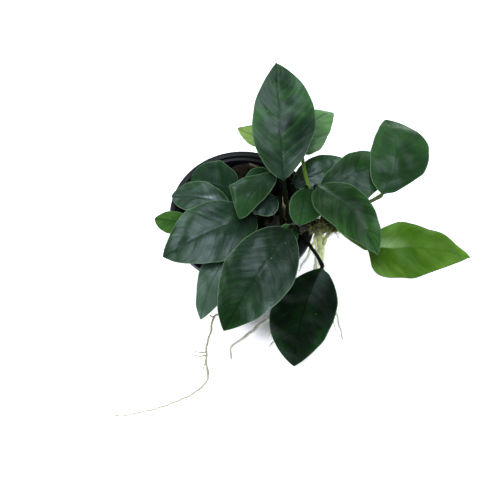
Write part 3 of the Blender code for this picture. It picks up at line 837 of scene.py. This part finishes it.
def stalk_line(leaf, midrib):
    """The stalk's path, from inside the rhizome to just before the blade."""
    foot, out = rhizome_seat(leaf.seat, leaf.side)
    start = foot - out * (STALK_FOOT_GAP + STALK_FOOT_DEPTH)
    end = midrib[0]
    into_blade = unit(midrib[1] - end)
    reach = np.linalg.norm(end - foot) * STALK_PULL
    pull = unit(unit(end - foot) * (1 - STALK_TURN) + into_blade * STALK_TURN) * reach
    arc = np.vstack([start, bezier_path(foot, foot + out * reach, end - pull, end, STALK_RINGS * 4)])
    run = lengths_along(arc)
    stalk = read_path(arc, run, np.linspace(0, run[-1] - JOINT_LENGTH, STALK_RINGS))
    third = JOINT_LENGTH / 3
    leaving = stalk[-1] + unit(stalk[-1] - stalk[-2]) * third
    bend = bezier_path(stalk[-1], leaving, end - into_blade * third, end, JOINT_RINGS)
    return np.vstack([stalk[:-1], bend[:-1]])


def stalk_rings(leaf, path, run, end, sides):
    """The stalk's skin: wider at its foot, and a little at its joint with the blade."""
    left = blade_frame(leaf)[3]
    side, upward = carried_frames(np.vstack([path, end])[::-1], left)
    flare = STALK_FLARE * np.exp(-((run / STALK_FLARE_LENGTH) ** 1.5))
    swelling = JOINT_SWELLING * np.exp(-(((run[-1] - run - 1.2) / 1.3) ** 2))
    return rings_around(path, side[:0:-1], -upward[:0:-1], STALK_RADIUS + flare + swelling, sides)


def make_leaf(leaf, material):
    """One closed skin: the stalk out of the rhizome, its joint, and the blade."""
    t = (1 - np.cos(np.linspace(0, math.pi, BLADE_ROWS))) / 2
    v = columns()
    midrib = blade_surface(leaf, t, np.zeros_like(t)) - blade_frame(leaf)[2] * STALK_RADIUS
    path = stalk_line(leaf, midrib)
    run = lengths_along(path)
    blade = blade_rings(leaf, t, v, midrib)
    stalk = stalk_rings(leaf, path, run, midrib[0], blade.shape[1])
    piece = loft(leaf.name + "_look", np.concatenate([stalk, blade]))

    t_all = np.concatenate([(run - run[-1] - 0.5) / 40, t])
    v_all = np.concatenate([v, v[-2:0:-1]])
    under = np.arange(len(v_all)) >= len(v)
    t_all, v_all = np.meshgrid(t_all, v_all, indexing="ij")
    half = blade_half_width(leaf, np.clip(t_all, 0, 1), v_all)
    give_attribute(piece, "leaf_t", t_all)
    give_attribute(piece, "leaf_x", v_all * half)
    give_attribute(piece, "leaf_edge", (1 - np.abs(v_all)) * half)
    give_attribute(piece, "leaf_vein", veins(leaf, t_all, v_all))
    give_attribute(piece, "leaf_under", np.broadcast_to(under, t_all.shape))
    dress(piece, leaf.name, material)


LeafPlaces = namedtuple("LeafPlaces", "t x edge vein under bands streaks dusk")


def leaf_places(look, leaf):
    """The leaf's attributes, two patterns that follow its side veins, and the painted shade at its base.
    """
    t, x, edge, vein, under = (look.attribute("leaf_" + name) for name in LeafPlaces._fields[:5])
    along, across = look.times(vein, 0.7), look.times(x, 0.08)
    bands = look.noise(1.0, 3.0, look.vector(along, across, leaf_number(leaf) * 1.7))
    along, across = look.times(vein, 2.6), look.times(x, 0.1)
    streaks = look.ramp(look.noise(1.0, 3.0, look.vector(along, across, 3.0)), 0.35, 0.65)
    # Painted shade: darker from the base up to the form's dusk, which also dims the sheen there.
    reach = FORMS[leaf.name].dusk
    dusk = look.ramp(t, 0.1 * reach, reach, 0.25, 1.0) if reach else 1.0
    return LeafPlaces(t, x, edge, vein, under, bands, streaks, dusk)


def leaf_shine(look, leaf, at):
    """How strongly the waxy skin shines in each place."""
    length = blade_length(leaf)
    wax = look.ramp(at.bands, 0.3, 0.7, 0.65, 1.35)
    wax = look.times(wax, look.ramp(at.streaks, 0.0, 1.0, 1.05, 0.85))
    here = look.vector(look.times(at.t, length), at.x, 0.0)
    for along, leftward, reach, gain in SHEENS.get(leaf.name, ()):
        away = look.distance(here, (along * length, leftward, 0.0))
        wax = look.times(wax, look.ramp(away, 0.0, reach, 1.0 + gain, 1.0))
    wax = look.times(wax, look.ramp(at.t, -0.01, 0.02, 0.2, FORMS[leaf.name].gloss))
    return look.times(look.times(wax, at.dusk), LEAF_SPECULAR)


def leaf_freshness(look, at):
    """From 0, for the main colour, to 1, for the fresher one."""
    fresh = look.plus(look.patches(95.0, 4.0, 0.4, 0.7, 0.0, 0.5), look.ramp(at.t, 0.4, 1.0, 0.0, 0.4))
    fresh = look.plus(fresh, look.ramp(at.edge, 0.5, 4.5, 0.55, 0.0))
    fresh = look.plus(fresh, look.ramp(at.bands, 0.62, 0.42, 0.0, 0.35))
    fresh = look.times(fresh, look.patches(60.0, 2.0, 0.35, 0.65, 0.3, 1.3))
    return look.times(fresh, look.ramp(at.t, 0.25, 0.65, 0.5, 1.1))


def painted_base_highlight(look, at, reach):
    """How strong the painted highlight to the left of the midrib is in each place."""
    zone = look.times(look.fade(at.x, 0.2, reach), look.ramp(at.x, -0.4, 0.3))
    zone = look.times(zone, look.fade(at.t, 0.0, 0.45))
    return look.times(zone, look.ramp(at.streaks, 0.2, 0.9, 1.0, 0.8))


def leaf_color(look, leaf, at, line):
    """The blade's greens, its lines and blemishes, its painted highlights and shade, its underside and
    margin, and the stalk.
    """
    main, fresh = (scaled(color, LEAF_TONE) for color in LEAF_COLORS[leaf.name])
    form = FORMS[leaf.name]
    layers = [
        (leaf_freshness(look, at), fresh),
        (look.times(at.streaks, min(0.3 * form.ripple, 0.5)), scaled(main, 0.45)),
        (look.times(line, 0.15), fresh),
    ]
    # Painted highlights in bands between the side veins.
    if leaf.name in PAINTED_BAND_HIGHLIGHTS:
        share = look.times(look.ramp(at.bands, 0.4, 0.65), look.ramp(at.t, 0.9, 0.2, 0.2, 0.45))
        layers.append((share, PAINTED_BAND_HIGHLIGHTS[leaf.name]))
    # Painted highlight near the base.
    if leaf.name in PAINTED_BASE_HIGHLIGHTS:
        pale, reach = PAINTED_BASE_HIGHLIGHTS[leaf.name]
        layers.append((painted_base_highlight(look, at, reach), pale))
    midrib = look.fade(look.math("ABSOLUTE", at.x), 0.2, 0.5)
    specks = look.times(look.fade(look.cells(260.0), 0.04, 0.09), look.patches(150.0, 1.0, 0.62, 0.68))
    margin = look.times(look.fade(at.edge, 0.14, 0.5), look.ramp(at.t, 0.0, 0.04))
    layers += [
        (look.times(midrib, 0.5 * form.midrib), scaled(main, 0.5)),
        (look.times(specks, 0.5), LEAF_SPECK),
        (at.under, tuple(min(1.6 * part + 0.01, 1) for part in main)),
        # Painted shade at the base.
        (look.times(look.minus(1.0, at.dusk), 0.85), LEAF_PAINTED_SHADE),
        # Margin line: partly paler tissue, partly painted rim highlight.
        (look.times(margin, MARGIN_STRENGTH), MARGIN_COLORS.get(leaf.name, MARGIN_COLOR)),
    ]
    bark = STALK_COLORS.get(leaf.name, STALK_COLOR)
    stalk = look.mix(look.noise(300.0), bark, scaled(bark, 0.5))
    return look.mix(look.ramp(at.t, -0.01, 0.015), stalk, look.layers(main, layers))


def leaf_material(leaf):
    """Dark glossy green with pale margins, side veins, a midrib line and small blemishes."""
    look = Look(leaf.name, IOR=1.45)
    look.set("Specular Tint", LEAF_SHEEN)
    at = leaf_places(look, leaf)
    wave = look.math("ABSOLUTE", look.minus(look.math("FRACT", at.vein), 0.5))
    line = look.ramp(wave, 0.44, 0.5)
    look.set("Specular IOR Level", leaf_shine(look, leaf, at))
    rough = look.plus(look.patches(180.0, 4.0, 0.3, 0.7, 0.34, 0.46), look.times(line, 0.08))
    height = look.plus(look.times(at.streaks, 0.5), look.noise(900.0, 3.0))
    height = look.plus(height, look.times(look.noise(330.0, 2.0), 1.6))
    height = look.minus(height, look.times(line, 0.4))
    return look.surface(leaf_color(look, leaf, at, line), rough, height, 0.08, 0.8)


def wall_radius(height):
    climb = height / (POT_HEIGHT - LIP_SKIRT)
    return WALL_FOOT_RADIUS + (WALL_TOP_RADIUS - WALL_FOOT_RADIUS) * climb


def rounded(profile, rounding):
    """The profile with each inner corner replaced by a short curve."""
    corners = np.array(profile, float)
    made = [corners[0]]
    for before, corner, after in zip(corners, corners[1:], corners[2:]):
        into, out = corner - before, after - corner
        reach = min(rounding, 0.4 * np.linalg.norm(into), 0.4 * np.linalg.norm(out))
        first, last = corner - unit(into) * reach, corner + unit(out) * reach
        for t in np.linspace(0, 1, EDGE_POINTS):
            made.append(first * (1 - t) ** 2 + corner * 2 * t * (1 - t) + last * t ** 2)
    made.append(corners[-1])
    return np.array(made)


def make_pot():
    """A turned cup with a flat lip, and a small step inside it."""
    step_inner = LIP_RADIUS - LIP_WIDTH - STEP_WIDTH
    step_height = POT_HEIGHT - STEP_DEPTH
    skirt_foot = POT_HEIGHT - LIP_SKIRT
    profile = rounded([
        (0.05, POT_FLOOR),
        (wall_radius(POT_FLOOR) - WALL_THICKNESS, POT_FLOOR),
        (step_inner - 0.4, step_height - 0.8),
        (step_inner, step_height),
        (LIP_RADIUS - LIP_WIDTH, step_height),
        (LIP_RADIUS - LIP_WIDTH, POT_HEIGHT),
        (LIP_RADIUS, POT_HEIGHT),
        (LIP_RADIUS, skirt_foot),
        (WALL_TOP_RADIUS, skirt_foot),
        (WALL_FOOT_RADIUS, 0),
        (0.05, 0),
    ], EDGE_ROUNDING)
    pot = loft("pot_look", turned(profile, POT_STEPS))
    pot.data.set_sharp_from_angle(angle=math.radians(40))
    dress(pot, "pot", pot_material())


def pot_material():
    """Black plastic with a little dust."""
    look = Look("pot", IOR=1.45, Specular_IOR_Level=0.25)
    dust = look.times(look.fade(look.cells(700.0), 0.1, 0.16), look.patches(260.0, 2.0, 0.6, 0.66))
    color = look.mix(look.times(dust, 0.6), look.mix(look.noise(120.0, 4.0), *POT_COLORS), POT_DUST)
    rough = look.patches(400.0, 4.0, 0.3, 0.7, 0.44, 0.52)
    return look.surface(color, rough, look.noise(2600.0, 2.0), 0.02, 0.4)


def stone_point(direction):
    """A point of the unit sphere moved onto the stone, as in the construction script."""
    flat = math.hypot(direction.x, direction.y)
    lumps = noise.noise(direction * STONE_LUMP_SCALE) + 0.5 * noise.noise(direction * STONE_LUMP_SCALE * 2)
    shrink = 1 - STONE_LUMP_DEPTH * (0.5 + 0.5 * lumps)
    climb = math.copysign(abs(direction.z) ** STONE_SQUARENESS, direction.z)
    out = Vector((direction.x, direction.y, 0)).normalized() * flat ** STONE_SQUARENESS
    height = (STONE_TOP + STONE_BOTTOM) / 2
    if climb > 0:
        height += climb * ((STONE_TOP - STONE_BOTTOM) / 2 * shrink + STONE_BACK_RISE * out.y)
    else:
        height += climb * (STONE_TOP - STONE_BOTTOM) / 2
    lean = Vector(STONE_LEAN) * height / POT_HEIGHT
    reach = wall_radius(height) - WALL_THICKNESS - STONE_WALL_GAP - lean.length
    point = lean + out * reach * shrink + Vector((0, 0, height))
    grain = sum(depth * noise.noise(point * scale) for scale, depth in STONE_GRAIN)
    pit = max(noise.noise(point * 0.45 + Vector((9, 0, 0))) - 0.15, 0) * STONE_PIT_DEPTH
    inward = (lean + Vector((0, 0, height * 0.6 + 9)) - point).normalized()
    return point + inward * (pit + max(grain + 0.1, 0))


def press_groove(points):
    """Moves the points that the rhizome would cover down to just off its skin."""
    line = rhizome_line(STONE_GROOVE_STEPS)
    radii = rhizome_radius(np.linspace(0, 1, STONE_GROOVE_STEPS)) + STONE_GROOVE_GAP
    gaps = np.linalg.norm(points[:, None] - line[None], axis=2)
    nearest = gaps.argmin(1)
    inside = gaps.min(1) < radii[nearest]
    away = points[inside] - line[nearest[inside]]
    away[:, 2] = -np.abs(away[:, 2]) - 0.3
    points[inside] = line[nearest[inside]] + unit(away) * radii[nearest[inside]][:, None]


def make_stone():
    """A lumpy porous stone, pressed in where the rhizome lies."""
    tilt = np.linspace(0, math.pi, STONE_RINGS + 2)[1:-1]
    rings = []
    for z in np.cos(tilt)[::-1]:
        flat = math.sqrt(1 - z * z)
        for turn in angles(STONE_SEGMENTS):
            rings.append(stone_point(Vector((flat * math.cos(turn), flat * math.sin(turn), z))))
    points = np.array(rings)
    press_groove(points)
    stone = loft("stone_look", points.reshape(STONE_RINGS, STONE_SEGMENTS, 3))
    dress(stone, "stone", stone_material())


def stone_material():
    """Dark brown, porous and matt, with beige parts and one beige patch."""
    look = Look("stone", IOR=1.5, Specular_IOR_Level=0.08)
    mottle = look.noise(170.0, 6.0, roughness=0.65)
    away = look.distance(look.place(), scaled(STONE_PATCH, MM))
    pores = look.ramp(look.cells(620.0), 0.05, 0.35)
    color = look.layers(look.mix(look.ramp(mottle, 0.3, 0.7), *STONE_COLORS), [
        (look.patches(75.0, 3.0, 0.6, 0.7, 0.0, 0.5), STONE_BEIGE),
        (look.times(look.fade(away, 1.2 * MM, 2.8 * MM), look.ramp(mottle, 0.35, 0.55)),
         STONE_PATCH_COLOR),
        (look.ramp(pores, 0.0, 1.0, 0.6, 0.0), STONE_PORE),
    ])
    rough = look.ramp(mottle, 0.3, 0.7, 0.95, 0.75)
    return look.surface(color, rough, look.plus(pores, look.noise(420.0, 6.0)), 1.2)


def make_rhizome():
    """The creeping stem, ringed by leaf scars."""
    place = np.linspace(0, 1, RHIZOME_RINGS)
    path = rhizome_line(RHIZOME_RINGS)
    angle = angles(RHIZOME_SIDES)
    radii = rhizome_radius(place)[:, None] * np.ones(RHIZOME_SIDES)
    for row, share in enumerate(place):
        for column, turn in enumerate(angle):
            spot = Vector((share * 38, math.cos(turn) * 2.2, math.sin(turn) * 2.2))
            radii[row, column] += 0.22 * noise.noise(spot * 0.5) + 0.12 * noise.noise(spot * 1.4)
    tilted = place[:, None] * RHIZOME_SCARS * 2 + 0.12 * np.sin(angle)[None]
    collar = np.exp(-(((tilted % 1) - 0.5) / 0.09) ** 2)
    radii += 0.16 * collar - 0.06
    from_end = np.minimum(place, 1 - place)
    ends = np.sqrt(np.clip(from_end, 0, 0.02) / 0.02)
    radii *= np.maximum(ends, 0.05)[:, None]
    rhizome = loft("rhizome_look", tube_rings(path, radii, RHIZOME_SIDES))
    give_attribute(rhizome, "collar", collar)
    give_attribute(rhizome, "length", place)
    dress(rhizome, "rhizome", rhizome_material())


def rhizome_material():
    """Mottled grey-brown, darker along its first half, greener at its far end, with brown collars."""
    look = Look("rhizome", IOR=1.45, Specular_IOR_Level=0.2)
    mottle = look.noise(260.0, 5.0)
    length = look.attribute("length")
    color = look.layers(look.mix(look.ramp(mottle, 0.3, 0.7), *RHIZOME_COLORS), [
        (look.patches(90.0, 2.0, 0.5, 0.65), RHIZOME_MOSS),
        (look.ramp(length, 0.35, 0.55, 0.85, 0.0), RHIZOME_DARK_END),
        (look.ramp(length, 0.72, 0.85, 0.0, 0.8), RHIZOME_NEW_END),
        (look.times(look.attribute("collar"), 0.5), RHIZOME_COLLAR),
    ])
    rough = look.ramp(mottle, 0.3, 0.7, 0.5, 0.8)
    return look.surface(color, rough, look.noise(1300.0, 5.0), 0.2, 0.8)


def make_cut_stalk():
    """The pale stump of a cut leaf stalk, which stands on the rhizome."""
    radii = 0.75 + 0.5 * np.exp(-np.linspace(0, 6, STUMP_RINGS))
    stump = loft("cut_stalk", tube_rings(smooth_path(STUMP_PATH, STUMP_RINGS), radii, STUMP_SIDES))
    give_attribute(stump, "length", np.linspace(0, 1, STUMP_RINGS))
    look = Look("cut_stalk", IOR=1.45, Specular_IOR_Level=0.2, Roughness=0.7)
    color = look.mix(look.ramp(look.attribute("length"), 0.3, 0.7), *STUMP_COLORS)
    stain = look.patches(500.0, 3.0, 0.4, 0.7, 0.0, 0.6)
    look.set("Base Color", look.mix(stain, color, STUMP_STAIN))
    dress(stump, None, look.material)


def make_root_skin(name, node, path, radii, share, material):
    """A root's skin, raised where it would sink into the floor; share is how far along it each ring is."""
    rings = tube_rings(path, radii, ROOT_SIDES)
    rings[:, :, 2] += np.maximum(LOWEST - rings[:, :, 2].min(1), 0)[:, None]
    piece = loft(name, rings)
    give_attribute(piece, "root_share", share)
    dress(piece, node, material)


def make_root(root, material):
    """A slightly wandering, slightly lumpy root, which tapers to a blunt point."""
    rng = np.random.default_rng(len(root.path) * 7 + len(root.name))
    rough = smooth_path(root.path, ROOT_STEPS)
    run = lengths_along(rough)
    stops = np.linspace(0, run[-1], max(int(run[-1] / ROOT_RING_SPACING), 12))
    path = read_path(rough, run, stops)
    settled = (1 - smoothstep(stops[-1] - 4, stops[-1], stops))[:, None]
    for wavelength in (5.5, 9.0, 14.0):
        phase = rng.uniform(0, TURN, 3)
        path += ROOT_WANDER * settled * np.sin(TURN * stops[:, None] / wavelength + phase)
    share = stops / stops[-1]
    slimness = ROOT_SLIMNESS * THICK_ROOTS.get(root.name, 1.0)
    radii = slimness * (root.top_radius + (root.end_radius - root.top_radius) * share)
    for wavelength in (1.7, 3.1, 6.3):
        radii = radii * (1 + 0.05 * np.sin(TURN * stops / wavelength + rng.uniform(0, 6)))
    radii = radii * (1 - 0.4 * smoothstep(0.6, 1, share))
    radii = radii * np.sqrt(np.clip((stops[-1] - stops) / 2.5, 0.04, 1))
    make_root_skin(root.name + "_look", root.name, path, radii, share, material)


def make_threads(name, paths, radius, material):
    """One piece of many thin threads, each tapering to its tip."""
    taper = radius * (1 - 0.7 * np.linspace(0, 1, THREAD_POINTS))
    rings = np.array([tube_rings(path, taper, THREAD_SIDES) for path in paths])
    rings[..., 2] = np.maximum(rings[..., 2], LOWEST)
    index = point_numbers(rings)
    ends = np.concatenate([index[:, 0, ::-1], index[:, -1]])
    dress(make_mesh(name, rings * MM, quads_between(index) + ends.tolist()), None, material)


def thread_path(start, out, length, rng):
    """A thread that leaves in one direction, and bends and sags on its way."""
    heading = unit(out + rng.normal(0, 0.5, 3))
    bend = unit(rng.normal(0, 1, 3) - 0.4 * UP)
    curl = unit(np.cross(heading, bend))
    t = np.linspace(0, 1, THREAD_POINTS)[:, None]
    return start + length * (0.8 * heading * t + bend * 0.7 * t ** 2 + 0.12 * curl * np.sin(5 * t))


def make_fibres():
    """The brown-green fuzz around the rhizome's right end."""
    rng = np.random.default_rng(5)
    line = rhizome_line(FIBRE_STEPS)
    along = unit(np.gradient(line, axis=0))
    paths = []
    for _ in range(FIBRE_COUNT):
        place = rng.uniform(*FIBRE_PLACES)
        row = min(int(place * FIBRE_STEPS), FIBRE_STEPS - 1)
        out = out_of_stem(along[row], rng.uniform(*FIBRE_TURNS))
        start = line[row] + out * rhizome_radius(place) * 0.9
        heading = out * 0.5 + along[row] * rng.uniform(-0.7, 0.6 + 1.4 * smoothstep(0.85, 1, place))
        paths.append(thread_path(start, heading, rng.uniform(*FIBRE_LENGTHS), rng))
    look = Look("fibre", IOR=1.45, Specular_IOR_Level=0.2, Roughness=0.7)
    look.set("Base Color", look.mix(look.patches(420.0, 3.0, 0.35, 0.65), *FIBRE_COLORS))
    make_threads("rhizome_fibres", paths, FIBRE_RADIUS, look.material)


def make_hairs(root, material):
    """Fine hairs along a root, where it hangs and where it lies."""
    rng = np.random.default_rng(len(root.name) + 31)
    line = smooth_path(root.path, HAIR_STEPS)
    along = unit(np.gradient(line, axis=0))
    paths = []
    for row in rng.integers(*HAIR_ROWS, HAIR_COUNT):
        out = np.cross(along[row], rng.normal(0, 1, 3))
        out[2] = abs(out[2]) if line[row][2] < 2 else out[2]
        paths.append(thread_path(line[row], unit(out), rng.uniform(*HAIR_LENGTHS), rng))
    make_threads(root.name + "_hairs", paths, HAIR_RADIUS, material)


def make_rootlet(name, path, material):
    radii = ROOTLET_RADIUS * (1 - 0.6 * np.linspace(0, 1, ROOTLET_RINGS))
    share = np.full(ROOTLET_RINGS, ROOTLET_SHARE)
    make_root_skin(name, None, smooth_path(path, ROOTLET_RINGS), radii, share, material)


def root_material(name, dark, pale, lying):
    """Mottled from dark to pale where the root hangs, and of the third colour where it lies."""
    look = Look(name, IOR=1.45, Specular_IOR_Level=0.3, Subsurface_Weight=0.6, Subsurface_Scale=0.8 * MM)
    look.set("Subsurface Radius", (1.0, 1.0, 0.85))
    share = look.attribute("root_share")
    mottle = look.noise(240.0, 4.0)
    stain = look.times(look.patches(90.0, 3.0, 0.56, 0.68), look.ramp(share, 0.2, 0.5, 0.45, 0.0))
    color = look.layers(look.mix(look.ramp(mottle, 0.3, 0.7), dark, pale), [
        (look.plus(stain, look.ramp(share, 0.0, 0.12, 0.35, 0.0)), ROOT_STAIN),
        (look.ramp(share, 0.3, 0.55, 0.0, 0.92), lying),
        (look.ramp(share, 0.94, 0.985, 0.0, 0.3), ROOT_TIP),
    ])
    rough = look.ramp(mottle, 0.3, 0.7, 0.5, 0.7)
    return look.surface(color, rough, look.noise(1500.0, 4.0), 0.08, 0.5)


def main():
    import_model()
    make_camera()
    make_light()
    make_floor()
    make_pot()
    make_stone()
    make_rhizome()
    make_cut_stalk()
    for leaf in LEAVES:
        make_leaf(leaf, leaf_material(leaf))
    pale = root_material("root_pale", *PALE_ROOT_COLORS)
    brown = root_material("root_brown", *BROWN_ROOT_COLORS)
    for root in ROOTS:
        look = brown if root.name == "root_long" else pale
        make_root(root, look)
        make_hairs(root, look)
    for name, path in ROOTLETS.items():
        make_rootlet(name, path, pale if path[0][0] > 0 else brown)
    make_fibres()
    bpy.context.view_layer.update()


main()
